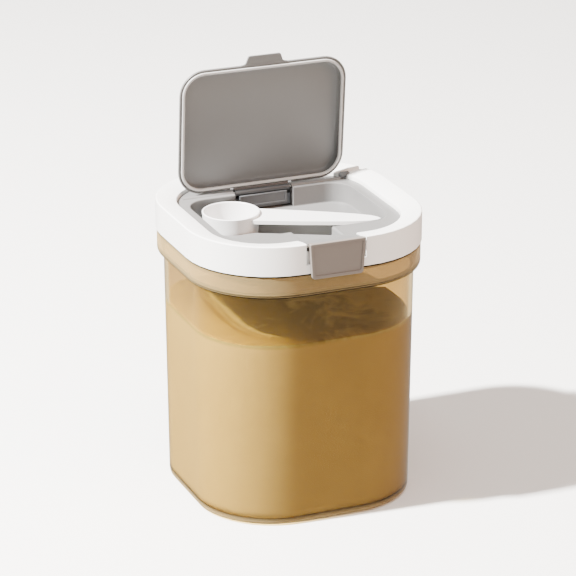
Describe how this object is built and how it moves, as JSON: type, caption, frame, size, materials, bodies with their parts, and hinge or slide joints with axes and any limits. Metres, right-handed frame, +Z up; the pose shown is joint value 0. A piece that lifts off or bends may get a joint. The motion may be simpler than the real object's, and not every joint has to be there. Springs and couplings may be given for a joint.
{
  "type": "dry food storage container",
  "caption": "Clear amber rounded-square jar of powder with a white lid, a scoop in its grey compartment, an open flip lid and a front clip.",
  "frame": {"origin": "centre of the underside of the jar's base", "axes": "+Z up through the jar and lid, +X to the right seen from the clip side, -Y towards the front clip"},
  "size_m": [0.15, 0.1537, 0.2665],
  "materials": {
    "amber_plastic": "clear amber-tinted plastic, glossy",
    "powder": "fine beige-yellow food powder, matte",
    "white_plastic": "white plastic, satin",
    "tray_plastic": "light warm grey plastic, satin",
    "grey_plastic": "warm grey plastic, satin",
    "taupe_plastic": "taupe plastic, satin",
    "silicone": "translucent light silicone",
    "steel": "plain steel rod"
  },
  "bodies": {
    "canister": {"jar": "amber_plastic", "powder": "powder", "lid_ring": "white_plastic", "tray": "tray_plastic", "hinge_cover": "grey_plastic", "hinge_pin": "steel", "pin_cap": "grey_plastic", "clip_pin": "steel", "scoop": "white_plastic"},
    "flip_lid": {"flip_lid": "grey_plastic", "lid_gasket": "silicone"},
    "clip": {"clip": "taupe_plastic"}
  },
  "joints": [
    {"name": "lid_hinge", "type": "hinge", "parent": "canister", "child": "flip_lid", "pos_m": [0, 0.04265, 0.17725], "axis": [1, 0, 0], "range_deg": [-8, 85.3]},
    {"name": "clip_hinge", "type": "hinge", "parent": "canister", "child": "clip", "pos_m": [0, -0.0738, 0.181], "axis": [1, 0, 0], "range_deg": [-95, 0]}
  ]
}
